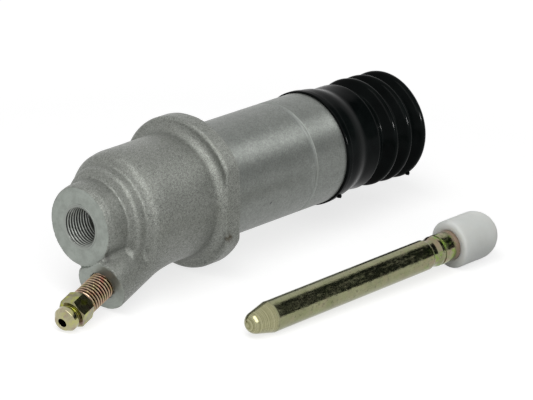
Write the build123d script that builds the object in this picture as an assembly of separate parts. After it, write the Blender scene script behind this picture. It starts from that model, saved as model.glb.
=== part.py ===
from build123d import *
import math
import os

# A hydraulic clutch slave cylinder: an aluminium casting with a turned barrel, its bleeder screw,
# the spring, seals and piston in its bore, the rubber boot on its open end, and the push rod with
# its nylon cap, which lies beside it.
# The frame: +X along the bore towards the boot, +Z up, the origin on the bore axis at the flange's
# seat face. The flange's flat faces -Y. All sizes are in millimetres and degrees.

# Casting, from the port face forward to the flange
rear_length = 44.0
port_boss_diameter = 23.0
port_boss_length = 7.1
port_boss_draft = 0.6
port_face_rounding = 0.5
collar_rise = 1.4
collar_diameter = 29.4
collar_length = 3.9
collar_draft = 0.4
shoulder_run = 3.6
rear_diameter = 36.5
shoulder_rounding = 2.6
collar_rounding = 1.3
cast_hollow_rounding = 1.2
flange_diameter = 45.0
flange_thickness = 5.4
flange_back_rounding = 1.1
flange_root_rounding = 3.0
flange_edge_chamfer = 0.4
flange_flat_distance = 19.8

# Turned barrel, from the flange's seat face forward
barrel_length = 55.5
barrel_diameter = 34.0
snap_groove_start = 35.1
snap_groove_width = 1.4
snap_groove_depth = 0.6
boot_seat_length = 6.3
boot_seat_diameter = 31.2
boot_groove_from_end = 4.5
boot_groove_width = 2.0
boot_groove_depth = 1.0
barrel_end_chamfer = 0.6

# Bore and what is cut into it
bore_diameter = 22.2
bore_mouth_chamfer = 0.8
ring_groove_from_end = 4.5
ring_groove_width = 1.4
ring_groove_depth = 1.0

# Inlet port, an M12 x 1 female thread along the bore axis
port_thread_minor_diameter = 10.92
port_thread_depth = 10.0
port_mouth_diameter = 12.7
port_drill_diameter = 4.0

# Bleeder boss on the underside, leaning back from the bore
bleeder_around = 28.0
bleeder_lean = 18.2
bleeder_face_back = 43.9
bleeder_face_from_axis = 17.4
bleeder_boss_diameter = 15.7
bleeder_boss_length = 25.0
bleeder_boss_edge_rounding = 0.8
bleeder_root_rounding = 1.0
bleeder_thread_depth = 13.5
bleeder_passage_diameter = 2.5
bleeder_seat_angle = 60.0

# Bleeder screw, an M8 x 1 thread, shown turned most of the way out
bleeder_thread_diameter = 7.8
bleeder_thread_clearance = 0.05
bleeder_thread_shown = 9.3
bleeder_thread_engaged = 5.6
bleeder_stem_diameter = 5.4
bleeder_stem_length = 2.4
bleeder_point_diameter = 2.4
bleeder_hex_across_flats = 8.0
bleeder_hex_height = 5.3
bleeder_hex_turn = 40.0
bleeder_hex_chamfer_angle = 30.0
bleeder_neck_diameter = 5.4
bleeder_neck_length = 0.7
bleeder_nipple_diameter = 7.3
bleeder_nipple_length = 4.2
bleeder_nipple_flare = 0.7
bleeder_nipple_rounding = 1.4
bleeder_bore_diameter = 2.6
bleeder_cross_hole_diameter = 1.6

# Piston, its seals and its spring
running_clearance = 0.03
piston_length = 22.0
piston_end_chamfer = 0.5
piston_stroke = 25.0
spring_closed_length = 21.3
seal_groove_from_front = 4.3
seal_groove_width = 3.2
seal_groove_depth = 2.6
piston_waist_from_front = 10.0
piston_waist_length = 8.0
piston_waist_depth = 1.2
rod_socket_clearance = 0.4
rod_socket_depth = 12.0

cup_length = 5.6
cup_heel_thickness = 2.4
cup_lip_thickness = 1.6
seal_running_clearance = 0.05
seal_side_clearance = 0.1
seal_edge_rounding = 0.5
seal_edge_chamfer = 0.6

spring_seat_diameter = 19.0
spring_seat_thickness = 1.2
spring_seat_gap = 0.3
spring_seat_spigot_clearance = 0.3
spring_seat_hole_diameter = 3.0
spring_guide_length = 4.0
spring_guide_clearance = 0.2
spring_guide_chamfer = 0.6
spring_wire_diameter = 1.4
spring_outer_diameter = 13.0
spring_turns = 7.0
spring_end_clearance = 0.05

stop_washer_thickness = 1.5
stop_washer_hole_diameter = 14.0
stop_washer_clearance = 0.1
retaining_ring_side_clearance = 0.1
retaining_ring_radial_clearance = 0.1
retaining_ring_reach = 1.4
retaining_ring_gap_angle = 50.0
stack_clearance = 0.02

# Rubber dust boot, a bellows with three sharp folds
boot_wall = 1.1
boot_fold_wall = 1.5
boot_lip_diameter = 35.0
boot_lip_length = 5.4
boot_lip_rounding = 0.5
boot_seat_clearance = 0.05
boot_neck_diameter = 32.0
boot_neck_from_lip = 4.8
boot_neck_rounding = 6.0
boot_swell_diameter = 32.6
boot_swell_length = 5.6
boot_swell_rounding = 0.8
boot_fold_diameter = 33.9
boot_fold_root_diameter = 28.0
boot_fold_count = 3
boot_fold_pitch = 6.4
boot_fold_from_swell = 7.2
boot_crest_rounding = 0.4
boot_root_rounding = 0.4
boot_end_diameter = 27.6
boot_end_length = 2.6
boot_rod_grip = 0.6
boot_collar_length = 3.0
boot_collar_wall = 1.6

# Push rod and nylon cap, lying beside the cylinder on the surface that it stands on
rod_diameter = 9.0
rod_length = 90.0
rod_nose_radius = 3.2
rod_cone_angle = 13.5
rod_cone_length = 5.4
rod_neck_start = 69.2
rod_neck_length = 3.5
rod_neck_depth = 0.4
rod_neck_rounding = 0.6
rod_ring_start = 73.8
rod_ring_width = 0.7
rod_ring_depth = 0.25
rod_end_chamfer = 0.5
cap_diameter = 14.2
cap_start = 79.9
cap_straight_length = 10.4
cap_fit_clearance = 0.03
cap_edge_rounding = 0.7
rod_nose_x = -30.6
rod_nose_y = -51.1
rod_heading = -3.7

# Places worked out from the sizes above
port_face_x = -rear_length
bore_radius = bore_diameter / 2
boot_seat_start = barrel_length - boot_seat_length
boot_groove_start = barrel_length - boot_groove_from_end
ring_groove_start = barrel_length - ring_groove_from_end
flange_radius = flange_diameter / 2
stop_washer_x = ring_groove_start - stop_washer_thickness
piston_front_x = stop_washer_x - stack_clearance
piston_back_x = piston_front_x - piston_length
cup_heel_x = piston_back_x - stack_clearance - cup_heel_thickness
cup_back_x = piston_back_x - stack_clearance - cup_length
spring_seat_front_x = cup_back_x - spring_seat_gap
spring_seat_back_x = spring_seat_front_x - spring_seat_thickness
bore_floor_x = spring_seat_back_x - piston_stroke - spring_closed_length
bleeder_hex_start = bleeder_thread_shown
bleeder_hex_end = bleeder_hex_start + bleeder_hex_height
bleeder_tip = bleeder_hex_end + bleeder_nipple_length
boot_start_x = boot_seat_start + boot_seat_clearance
boot_lip_end_x = boot_start_x + boot_lip_length
boot_neck_x = boot_lip_end_x + boot_neck_from_lip
boot_swell_x = boot_neck_x + boot_swell_length
boot_first_fold_x = boot_swell_x + boot_fold_from_swell
boot_last_fold_x = boot_first_fold_x + (boot_fold_count - 1) * boot_fold_pitch
boot_end_x = boot_last_fold_x + boot_end_length
boot_hole_radius = (rod_diameter - boot_rod_grip) / 2


def rounded_section(outline):
    """A closed face in the XY plane. Each corner is (x, y, rounding), and an arc meets both its sides.

    A rounding is held to what its shorter side has room for.
    """
    corners = [Vector(x, y) for x, y, _ in outline]
    edges = []
    arrivals = []
    departures = []
    for i, corner in enumerate(corners):
        back = corners[i - 1] - corner
        on = corners[(i + 1) % len(corners)] - corner
        rounding = outline[i][2]
        half = math.radians(back.get_angle(on)) / 2
        reach = min(rounding / math.tan(half), 0.49 * back.length, 0.49 * on.length)
        arrival = corner + back.normalized() * reach
        departure = corner + on.normalized() * reach
        if rounding > 0:
            radius = reach * math.tan(half)
            inward = (back.normalized() + on.normalized()).normalized()
            middle = corner + inward * (radius / math.sin(half) - radius)
            edges.append(ThreePointArc(arrival, middle, departure))
        arrivals.append(arrival)
        departures.append(departure)
    for i, departure in enumerate(departures):
        edges.append(Line(departure, arrivals[(i + 1) % len(corners)]))
    return make_face(edges)


def turned(outline):
    """A solid of revolution about X. Each corner is (x, radius from the axis, corner rounding)."""
    return revolve(rounded_section(outline), Axis.X, 360)


def bore_cut(start, end, diameter):
    """A cylinder about the bore axis between two places, for cutting or fitting."""
    return Pos((start + end) / 2, 0, 0) * Rot(0, 90, 0) * Cylinder(diameter / 2, end - start)


def bleeder_frame():
    """The bleeder's own plane: its origin at the boss face on the screw's axis, its Z pointing out."""
    around = math.radians(bleeder_around)
    lean = math.radians(bleeder_lean)
    down = Vector(0, -math.sin(around), -math.cos(around))
    outward = Vector(-math.cos(lean), 0, 0) + down * math.sin(lean)
    face = Vector(-bleeder_face_back, 0, 0) + down * bleeder_face_from_axis
    sideways = Vector(0, math.cos(around), -math.sin(around))
    return Plane(origin=face, x_dir=sideways, z_dir=outward)


def spun_on_bleeder(outline):
    """A solid of revolution about the bleeder's axis. Each corner is (height out, radius, rounding)."""
    return bleeder_frame().location * Rot(0, -90, 0) * turned(outline)


def cast_outside():
    """The casting's turned outside: port boss, collar, rear body, flange and barrel in one outline."""
    port_boss_end = port_face_x + port_boss_length
    collar_end = port_boss_end + collar_length
    flange_back = -flange_thickness
    seat_end = barrel_length
    outline = [
        (port_face_x, 0, 0),
        (port_face_x, port_boss_diameter / 2, port_face_rounding),
        (port_boss_end, port_boss_diameter / 2 + port_boss_draft, cast_hollow_rounding),
        (port_boss_end + collar_rise, collar_diameter / 2, collar_rounding),
        (collar_end, collar_diameter / 2 + collar_draft, cast_hollow_rounding),
        (collar_end + shoulder_run, rear_diameter / 2, shoulder_rounding),
        (flange_back, rear_diameter / 2, flange_root_rounding),
        (flange_back, flange_radius, flange_back_rounding),
        (-flange_edge_chamfer, flange_radius, 0),
        (0, flange_radius - flange_edge_chamfer, 0),
        (0, barrel_diameter / 2, 0),
        (snap_groove_start, barrel_diameter / 2, 0),
        (snap_groove_start, barrel_diameter / 2 - snap_groove_depth, 0),
        (snap_groove_start + snap_groove_width, barrel_diameter / 2 - snap_groove_depth, 0),
        (snap_groove_start + snap_groove_width, barrel_diameter / 2, 0),
        (boot_seat_start, barrel_diameter / 2, 0),
        (boot_seat_start, boot_seat_diameter / 2, 0),
        (boot_groove_start, boot_seat_diameter / 2, 0),
        (boot_groove_start, boot_seat_diameter / 2 - boot_groove_depth, 0),
        (boot_groove_start + boot_groove_width, boot_seat_diameter / 2 - boot_groove_depth, 0),
        (boot_groove_start + boot_groove_width, boot_seat_diameter / 2, 0),
        (seat_end - barrel_end_chamfer, boot_seat_diameter / 2, 0),
        (seat_end, boot_seat_diameter / 2 - barrel_end_chamfer, 0),
        (seat_end, 0, 0),
    ]
    return turned(outline)


def bore_and_port():
    """What the machining takes out along the axis: bore, ring groove, drilling and threaded port."""
    mouth = barrel_length
    ring_end = ring_groove_start + ring_groove_width
    ring_radius = bore_radius + ring_groove_depth
    port_end = port_face_x + port_thread_depth
    mouth_depth = (port_mouth_diameter - port_thread_minor_diameter) / 2
    outline = [
        (port_face_x - 1, 0, 0),
        (port_face_x - 1, port_mouth_diameter / 2, 0),
        (port_face_x, port_mouth_diameter / 2, 0),
        (port_face_x + mouth_depth, port_thread_minor_diameter / 2, 0),
        (port_end, port_thread_minor_diameter / 2, 0),
        (port_end + (port_thread_minor_diameter - port_drill_diameter) / 4, port_drill_diameter / 2, 0),
        (bore_floor_x, port_drill_diameter / 2, 0),
        (bore_floor_x, bore_radius, 0),
        (ring_groove_start, bore_radius, 0),
        (ring_groove_start, ring_radius, 0),
        (ring_end, ring_radius, 0),
        (ring_end, bore_radius, 0),
        (mouth - bore_mouth_chamfer, bore_radius, 0),
        (mouth, bore_radius + bore_mouth_chamfer, 0),
        (mouth + 1, bore_radius + bore_mouth_chamfer, 0),
        (mouth + 1, 0, 0),
    ]
    return turned(outline)


def bleeder_hole():
    """The bleeder's threaded hole with its conical seat, and the passage on to the bore's floor."""
    hole_radius = bleeder_thread_diameter / 2 + bleeder_thread_clearance
    passage_radius = bleeder_passage_diameter / 2
    cone_depth = (hole_radius - passage_radius) / math.tan(math.radians(bleeder_seat_angle))
    to_axis = bleeder_face_from_axis / math.sin(math.radians(bleeder_lean))
    outline = [
        (1, 0, 0),
        (1, hole_radius + 0.4, 0),
        (0, hole_radius + 0.4, 0),
        (-0.4, hole_radius, 0),
        (-bleeder_thread_depth, hole_radius, 0),
        (-bleeder_thread_depth - cone_depth, passage_radius, 0),
        (-to_axis, passage_radius, 0),
        (-to_axis, 0, 0),
    ]
    return spun_on_bleeder(outline)


def boss_root_edges(casting):
    """The curved edges on the bleeder boss's side, where it runs into the rest of the casting."""
    to_boss = bleeder_frame().location.inverse()
    edges = []
    for edge in casting.edges():
        places = [(to_boss * Pos(edge @ share)).position for share in (0.2, 0.5, 0.8)]
        off_side = [abs(math.hypot(p.X, p.Y) - bleeder_boss_diameter / 2) for p in places]
        below_face = all(p.Z < -bleeder_boss_edge_rounding for p in places)
        if max(off_side) < 0.01 and below_face and edge.geom_type != GeomType.LINE:
            edges.append(edge)
    return edges


def make_cylinder_body():
    """The one-piece casting, machined: rear body, bleeder boss, flange with its flat, and barrel."""
    body = cast_outside()
    flat = Pos(-flange_thickness / 2, -flange_flat_distance - flange_radius, 0) * Box(
        flange_thickness * 1.6, 2 * flange_radius, 2 * flange_radius
    )
    body = body - flat
    boss = spun_on_bleeder(
        [
            (0, 0, 0),
            (0, bleeder_boss_diameter / 2, bleeder_boss_edge_rounding),
            (-bleeder_boss_length, bleeder_boss_diameter / 2, 0),
            (-bleeder_boss_length, 0, 0),
        ]
    )
    body = body + boss
    body = fillet(boss_root_edges(body), bleeder_root_rounding)
    port_facing = bore_cut(port_face_x - 8, port_face_x, port_boss_diameter)
    return body - port_facing - bore_and_port() - bleeder_hole()


def make_bleeder_screw():
    """The steel bleeder: pointed stem, thread, hexagon, neck and hose nipple, drilled from its tip."""
    thread_radius = bleeder_thread_diameter / 2
    nipple_radius = bleeder_nipple_diameter / 2
    stem_end = -bleeder_thread_engaged - bleeder_stem_length
    point_drop = (bleeder_stem_diameter - bleeder_point_diameter) / 2
    point_length = point_drop / math.tan(math.radians(bleeder_seat_angle / 2))
    neck_end = bleeder_hex_end + bleeder_neck_length
    shank = spun_on_bleeder(
        [
            (stem_end - point_length, 0, 0),
            (stem_end - point_length, bleeder_point_diameter / 2, 0),
            (stem_end, bleeder_stem_diameter / 2, 0),
            (-bleeder_thread_engaged - 0.6, bleeder_stem_diameter / 2, 0),
            (-bleeder_thread_engaged, thread_radius, 0),
            (bleeder_hex_start, thread_radius, 0),
            (bleeder_hex_start, bleeder_neck_diameter / 2, 0),
            (neck_end, bleeder_neck_diameter / 2, 0),
            (neck_end + bleeder_nipple_flare, nipple_radius, 0.4),
            (bleeder_tip, nipple_radius, bleeder_nipple_rounding),
            (bleeder_tip, 0, 0),
        ]
    )
    corner_radius = bleeder_hex_across_flats / math.sqrt(3)
    hex_base = bleeder_frame().location * Pos(0, 0, bleeder_hex_start) * Rot(0, 0, bleeder_hex_turn)
    hexagon = hex_base * extrude(RegularPolygon(corner_radius, 6), bleeder_hex_height)
    chamfer = (corner_radius - bleeder_hex_across_flats / 2) * math.tan(
        math.radians(bleeder_hex_chamfer_angle)
    )
    flat_radius = bleeder_hex_across_flats / 2
    envelope = spun_on_bleeder(
        [
            (bleeder_hex_start, 0, 0),
            (bleeder_hex_start, flat_radius, 0),
            (bleeder_hex_start + chamfer, corner_radius, 0),
            (bleeder_hex_end - chamfer, corner_radius, 0),
            (bleeder_hex_end, flat_radius, 0),
            (bleeder_hex_end, 0, 0),
        ]
    )
    drilling_end = stem_end + bleeder_cross_hole_diameter / 2
    drilling = spun_on_bleeder(
        [
            (drilling_end, 0, 0),
            (drilling_end, bleeder_bore_diameter / 2, 0),
            (bleeder_tip + 1, bleeder_bore_diameter / 2, 0),
            (bleeder_tip + 1, 0, 0),
        ]
    )
    cross_place = bleeder_frame().location * Pos(0, 0, stem_end + bleeder_cross_hole_diameter / 2)
    cross_hole = cross_place * Rot(90, 0, 0) * Cylinder(
        bleeder_cross_hole_diameter / 2, bleeder_thread_diameter
    )
    return shank + (hexagon & envelope) - drilling - cross_hole


def make_return_spring():
    """The coil spring between the bore's floor and the spring seat."""
    wire = spring_wire_diameter
    start = bore_floor_x + wire / 2 + spring_end_clearance
    end = spring_seat_back_x - wire / 2 - spring_end_clearance
    coil_radius = (spring_outer_diameter - wire) / 2
    coil = Helix((end - start) / spring_turns, end - start, coil_radius)
    section = (coil ^ 0) * Circle(wire / 2)
    return Pos(start, 0, 0) * Rot(0, 90, 0) * sweep(section, path=coil, is_frenet=True)


def make_spring_seat():
    """The pressed seat between spring and cup: a flange, a spigot into the cup, a guide in the coil."""
    hole_radius = spring_seat_hole_diameter / 2
    cup_hollow_radius = bore_radius - seal_running_clearance - cup_lip_thickness
    spigot_radius = cup_hollow_radius - spring_seat_spigot_clearance - cup_lip_thickness
    coil_inner_radius = spring_outer_diameter / 2 - spring_wire_diameter
    guide_radius = coil_inner_radius - spring_guide_clearance
    return turned(
        [
            (spring_seat_back_x - spring_guide_length, hole_radius, 0),
            (spring_seat_back_x - spring_guide_length, guide_radius - spring_guide_chamfer, 0),
            (spring_seat_back_x - spring_guide_length + spring_guide_chamfer, guide_radius, 0),
            (spring_seat_back_x, guide_radius, 0),
            (spring_seat_back_x, spring_seat_diameter / 2, 0),
            (spring_seat_front_x, spring_seat_diameter / 2, 0),
            (spring_seat_front_x, spigot_radius, 0),
            (cup_heel_x - stack_clearance, spigot_radius, 0),
            (cup_heel_x - stack_clearance, hole_radius, 0),
        ]
    )


def make_pressure_cup():
    """The rubber cup that seals the bore, its lips towards the spring."""
    outer = bore_radius - seal_running_clearance
    inner = outer - cup_lip_thickness
    heel_front = piston_back_x - stack_clearance
    return turned(
        [
            (cup_back_x, inner + 0.8, 0),
            (cup_back_x, outer, seal_edge_rounding),
            (heel_front, outer - seal_edge_rounding, 0),
            (heel_front, 0, 0),
            (cup_heel_x, 0, 0),
            (cup_heel_x, inner - cup_lip_thickness, 0),
        ]
    )


def make_piston():
    """The piston: two lands, a seal groove, a waist between, and the push rod's socket in its front."""
    radius = bore_radius - running_clearance
    socket_radius = rod_diameter / 2 + rod_socket_clearance
    seat_radius = rod_nose_radius + 0.1
    groove_start = piston_front_x - seal_groove_from_front - seal_groove_width
    waist_start = piston_front_x - piston_waist_from_front - piston_waist_length
    socket_floor = piston_front_x - rod_socket_depth
    body = turned(
        [
            (piston_back_x, 0, 0),
            (piston_back_x, radius - piston_end_chamfer, 0),
            (piston_back_x + piston_end_chamfer, radius, 0),
            (waist_start, radius, 0),
            (waist_start, radius - piston_waist_depth, 0),
            (waist_start + piston_waist_length, radius - piston_waist_depth, 0),
            (waist_start + piston_waist_length, radius, 0),
            (groove_start, radius, 0),
            (groove_start, radius - seal_groove_depth, 0),
            (groove_start + seal_groove_width, radius - seal_groove_depth, 0),
            (groove_start + seal_groove_width, radius, 0),
            (piston_front_x - piston_end_chamfer, radius, 0),
            (piston_front_x, radius - piston_end_chamfer, 0),
            (piston_front_x, 0, 0),
        ]
    )
    socket = turned(
        [
            (socket_floor, 0, 0),
            (socket_floor, seat_radius, seat_radius * 0.98),
            (socket_floor + 2 * seat_radius, socket_radius, 1.0),
            (piston_front_x - 0.8, socket_radius, 0),
            (piston_front_x, socket_radius + 0.8, 0),
            (piston_front_x + 1, socket_radius + 0.8, 0),
            (piston_front_x + 1, 0, 0),
        ]
    )
    return body - socket


def make_piston_seal():
    """The rubber ring in the piston's groove, which keeps dirt out of the bore."""
    outer = bore_radius - seal_running_clearance
    inner = bore_radius - running_clearance - seal_groove_depth + stack_clearance
    start = piston_front_x - seal_groove_from_front - seal_groove_width + seal_side_clearance
    end = piston_front_x - seal_groove_from_front - seal_side_clearance
    return turned(
        [
            (start, inner, 0),
            (start, outer - seal_edge_chamfer, 0),
            (start + seal_edge_chamfer, outer, 0),
            (end - seal_edge_chamfer, outer, 0),
            (end, outer - seal_edge_chamfer, 0),
            (end, inner, 0),
        ]
    )


def make_stop_washer():
    """The flat washer that stops the piston behind the retaining ring."""
    outer = bore_radius - stop_washer_clearance
    end = ring_groove_start - stack_clearance
    return turned(
        [
            (stop_washer_x, stop_washer_hole_diameter / 2, 0),
            (stop_washer_x, outer, 0),
            (end, outer, 0),
            (end, stop_washer_hole_diameter / 2, 0),
        ]
    )


def make_retaining_ring():
    """The split spring ring in the bore's mouth, its gap at the bottom."""
    outer = bore_radius + ring_groove_depth - retaining_ring_radial_clearance
    inner = bore_radius - retaining_ring_reach
    start = ring_groove_start + retaining_ring_side_clearance / 2
    end = ring_groove_start + ring_groove_width - retaining_ring_side_clearance / 2
    ring = turned([(start, inner, 0), (start, outer, 0), (end, outer, 0), (end, inner, 0)])
    half_gap = math.radians(retaining_ring_gap_angle / 2)
    reach = 2 * outer
    wedge = Polyline(
        (0, 0),
        (-reach * math.sin(half_gap), -reach * math.cos(half_gap)),
        (reach * math.sin(half_gap), -reach * math.cos(half_gap)),
        close=True,
    )
    gap = extrude(Plane.YZ.offset(start - 1) * make_face(wedge), end - start + 2)
    return ring - gap


def make_dust_boot():
    """The moulded rubber boot: lip and bead on the barrel, neck, swell, sharp folds and rod collar."""
    seat = boot_seat_diameter / 2 + boot_seat_clearance
    bead = seat - boot_groove_depth
    bead_start = boot_groove_start + boot_seat_clearance
    bead_end = boot_groove_start + boot_groove_width - boot_seat_clearance
    lip = boot_lip_diameter / 2
    neck = boot_neck_diameter / 2
    swell = boot_swell_diameter / 2
    crest = boot_fold_diameter / 2
    root = boot_fold_root_diameter / 2
    collar = boot_hole_radius + boot_collar_wall
    outside = [
        (boot_start_x, lip, boot_lip_rounding),
        (boot_lip_end_x, lip, boot_lip_rounding),
        (boot_neck_x, neck, boot_neck_rounding),
        (boot_swell_x, swell, boot_swell_rounding),
    ]
    inside = [
        (boot_start_x, seat, 0),
        (bead_start, seat, 0),
        (bead_start, bead, 0),
        (bead_end, bead, 0),
        (bead_end, seat, 0),
        (barrel_length + 2 * boot_seat_clearance, seat, 0),
        (boot_neck_x, neck - boot_wall, 0),
        (boot_swell_x, swell - boot_wall, 0),
    ]
    for i in range(boot_fold_count):
        crest_x = boot_first_fold_x + i * boot_fold_pitch
        root_x = crest_x - boot_fold_pitch / 2
        outside.append((root_x, root, boot_root_rounding))
        outside.append((crest_x, crest, boot_crest_rounding))
        inside.append((root_x, root - boot_fold_wall, 0))
        inside.append((crest_x, crest - boot_fold_wall, 0))
    outside.append((boot_end_x, boot_end_diameter / 2, boot_root_rounding))
    outside.append((boot_end_x, collar, 0))
    outside.append((boot_end_x + boot_collar_length, collar, boot_root_rounding))
    inside.append((boot_end_x - boot_wall, boot_end_diameter / 2 - boot_wall, 0))
    inside.append((boot_end_x - boot_wall, boot_hole_radius, 0))
    inside.append((boot_end_x + boot_collar_length, boot_hole_radius, 0))
    return turned(outside + inside[::-1])


def rod_place(floor_z):
    """Where the rod lies: its shank and the cap's rim on the floor, so that it tilts up to the cap."""
    lift = (cap_diameter - rod_diameter) / 2
    tilt = math.degrees(math.asin(lift / (cap_start - rod_cone_length - rod_nose_radius)))
    shank_height = rod_diameter / 2 / math.cos(math.radians(tilt))
    drop = (rod_nose_radius + rod_cone_length) * math.sin(math.radians(tilt))
    place = Pos(rod_nose_x, rod_nose_y, floor_z + shank_height - drop)
    return place * Rot(0, 0, rod_heading) * Rot(0, -tilt, 0)


def make_push_rod(place):
    """The plated steel push rod: round nose, cone, shank, shallow neck and a fine ring."""
    radius = rod_diameter / 2
    lean = math.radians(rod_cone_angle)
    nose_centre = rod_nose_radius
    cone_start = nose_centre - rod_nose_radius * math.sin(lean)
    cone_start_radius = rod_nose_radius * math.cos(lean)
    nose_middle = (90 - rod_cone_angle) / 2
    middle_x = nose_centre - rod_nose_radius * math.cos(math.radians(nose_middle))
    middle_y = rod_nose_radius * math.sin(math.radians(nose_middle))
    neck_end = rod_neck_start + rod_neck_length
    ring_end = rod_ring_start + rod_ring_width
    rest = [
        (cone_start, cone_start_radius),
        (cone_start + rod_cone_length, cone_start_radius + rod_cone_length * math.tan(lean)),
    ]
    nose = ThreePointArc((0, 0), (middle_x, middle_y), rest[0])
    profile = Polyline(
        *rest,
        (cone_start + rod_cone_length + 0.3, radius),
        (rod_neck_start, radius),
        (rod_neck_start + rod_neck_rounding, radius - rod_neck_depth),
        (neck_end - rod_neck_rounding, radius - rod_neck_depth),
        (neck_end, radius),
        (rod_ring_start, radius),
        (rod_ring_start, radius - rod_ring_depth),
        (ring_end, radius - rod_ring_depth),
        (ring_end, radius),
        (rod_length - rod_end_chamfer, radius),
        (rod_length, radius - rod_end_chamfer),
        (rod_length, 0),
        (0, 0),
    )
    return place * revolve(make_face([nose, profile]), Axis.X, 360)


def make_push_rod_cap(place):
    """The nylon cap on the rod's end: a straight sleeve closed by a dome."""
    radius = cap_diameter / 2
    hole = rod_diameter / 2 + cap_fit_clearance
    dome_start = cap_start + cap_straight_length
    floor = rod_length + stack_clearance
    sleeve = turned(
        [
            (cap_start, hole + 0.4, 0),
            (cap_start, radius, cap_edge_rounding),
            (dome_start, radius, 0),
            (dome_start, 0, 0),
            (floor, 0, 0),
            (floor, hole, 0),
            (cap_start + 0.4, hole, 0),
        ]
    )
    dome = Pos(dome_start, 0, 0) * Sphere(radius) & bore_cut(dome_start, dome_start + radius, cap_diameter)
    return place * (sleeve + dome)


cylinder_body = make_cylinder_body()
bleeder_screw = make_bleeder_screw()
floor_height = min(cylinder_body.bounding_box().min.Z, bleeder_screw.bounding_box().min.Z)
rod_location = rod_place(floor_height)
parts = {
    "cylinder_body": cylinder_body,
    "bleeder_screw": bleeder_screw,
    "return_spring": make_return_spring(),
    "spring_seat": make_spring_seat(),
    "pressure_cup": make_pressure_cup(),
    "piston": make_piston(),
    "piston_seal": make_piston_seal(),
    "stop_washer": make_stop_washer(),
    "retaining_ring": make_retaining_ring(),
    "dust_boot": make_dust_boot(),
    "push_rod": make_push_rod(rod_location),
    "push_rod_cap": make_push_rod_cap(rod_location),
}
os.makedirs("parts", exist_ok=True)
for name, solid in parts.items():
    export_step(solid, f"parts/{name}.step")
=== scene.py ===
# %% [markdown]
# # A clutch slave cylinder, dressed
# The solids are already made at their real size. This lesson gives them their looks: a sand-cast
# aluminium body with machined faces, a turned barrel, a rubber boot, a plated bleeder screw, and a
# plated push rod with a nylon cap.
# Each step first says what the piece is on the real object and how it could be made, then makes it.
# Sizes are written in millimetres and scaled to metres once, when a mesh is built.

# %% Load the solids as a fixed frame
import bmesh
import bpy
import numpy as np
from mathutils import Matrix, Vector


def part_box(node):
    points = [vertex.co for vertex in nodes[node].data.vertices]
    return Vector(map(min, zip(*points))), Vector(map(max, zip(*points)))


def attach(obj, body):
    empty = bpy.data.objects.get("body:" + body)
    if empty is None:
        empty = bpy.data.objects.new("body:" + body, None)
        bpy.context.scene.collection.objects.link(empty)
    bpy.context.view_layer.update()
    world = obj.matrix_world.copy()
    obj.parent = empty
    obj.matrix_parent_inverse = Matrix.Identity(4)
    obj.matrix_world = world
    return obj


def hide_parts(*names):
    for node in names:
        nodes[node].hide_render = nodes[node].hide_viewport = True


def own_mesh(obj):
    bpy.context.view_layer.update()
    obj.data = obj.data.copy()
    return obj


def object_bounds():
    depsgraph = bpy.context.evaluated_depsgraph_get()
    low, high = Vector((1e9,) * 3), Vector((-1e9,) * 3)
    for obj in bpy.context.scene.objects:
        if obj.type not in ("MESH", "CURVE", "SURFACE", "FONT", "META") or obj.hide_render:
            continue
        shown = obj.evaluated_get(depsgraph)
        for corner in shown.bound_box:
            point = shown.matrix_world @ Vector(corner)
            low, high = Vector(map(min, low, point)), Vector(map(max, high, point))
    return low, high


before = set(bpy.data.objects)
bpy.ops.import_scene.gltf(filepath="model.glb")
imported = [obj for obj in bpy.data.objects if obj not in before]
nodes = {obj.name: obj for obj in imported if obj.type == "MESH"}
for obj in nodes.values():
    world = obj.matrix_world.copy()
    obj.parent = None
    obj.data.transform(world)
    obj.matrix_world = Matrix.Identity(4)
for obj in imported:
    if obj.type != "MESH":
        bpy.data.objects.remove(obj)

cad_low, cad_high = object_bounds()
MM = 0.001
print("nodes", len(nodes), "box", [round(v, 4) for v in cad_high - cad_low])

# %% Sizes and places that several pieces share
AXIS = (1.0, 0.0, 0.0)
PORT_SIDE = (-1.0, 0.0, 0.0)
CENTRE = (0.0, 0.0, 0.0)
PORT_FACE = -44.0
BARREL_RADIUS = 17.0
BOSS_FACE = np.array([-43.9, -8.1688, -15.3633])
BOSS_OUT = np.array([-0.949972, -0.146632, -0.275775])
BOSS_SIDE = np.array([0.0, 0.882948, -0.469472])
BOSS_UP = np.cross(BOSS_OUT, BOSS_SIDE)
on_boss = (BOSS_FACE, (BOSS_OUT, BOSS_SIDE, BOSS_UP))
print("boss axis", BOSS_OUT.round(3), "length", np.linalg.norm(BOSS_OUT).round(4))

# %% [markdown]
# ## Camera
# The photograph looks down at about 20 degrees from in front of the port, through a long lens that
# hardly tapers the barrel. The camera could be turned until it looks right. Here its place, its aim
# and its lens come from measuring the round edges in the photograph instead, so that every piece
# lands on its own pixels.

# %% Place the camera
EYE = Vector((-583.5, -568.8, 285.3)) * MM
LOOK = Vector((0.6924, 0.6394, -0.3342)).normalized()
LENS = 202.63
SENSOR = 36.0


def in_scene(name, data):
    """A new object in the scene, at the origin."""
    obj = bpy.data.objects.new(name, data)
    bpy.context.scene.collection.objects.link(obj)
    return obj


def stood(name, data, place, right, up, back):
    """A lamp or camera at a place, whose own x, y and z point right, up and back."""
    obj = in_scene(name, data)
    obj.matrix_world = Matrix.Translation(place) @ Matrix((right, up, back)).transposed().to_4x4()
    return obj


camera_data = bpy.data.cameras.new("camera")
camera_data.lens = LENS
camera_data.sensor_width = SENSOR
camera_data.sensor_fit = "HORIZONTAL"
right = LOOK.cross(Vector((0, 0, 1))).normalized()
bpy.context.scene.camera = stood("camera", camera_data, EYE, right, right.cross(LOOK), -LOOK)
bpy.context.scene.view_settings.view_transform = "Standard"
print("camera", [round(v, 3) for v in EYE])

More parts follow.
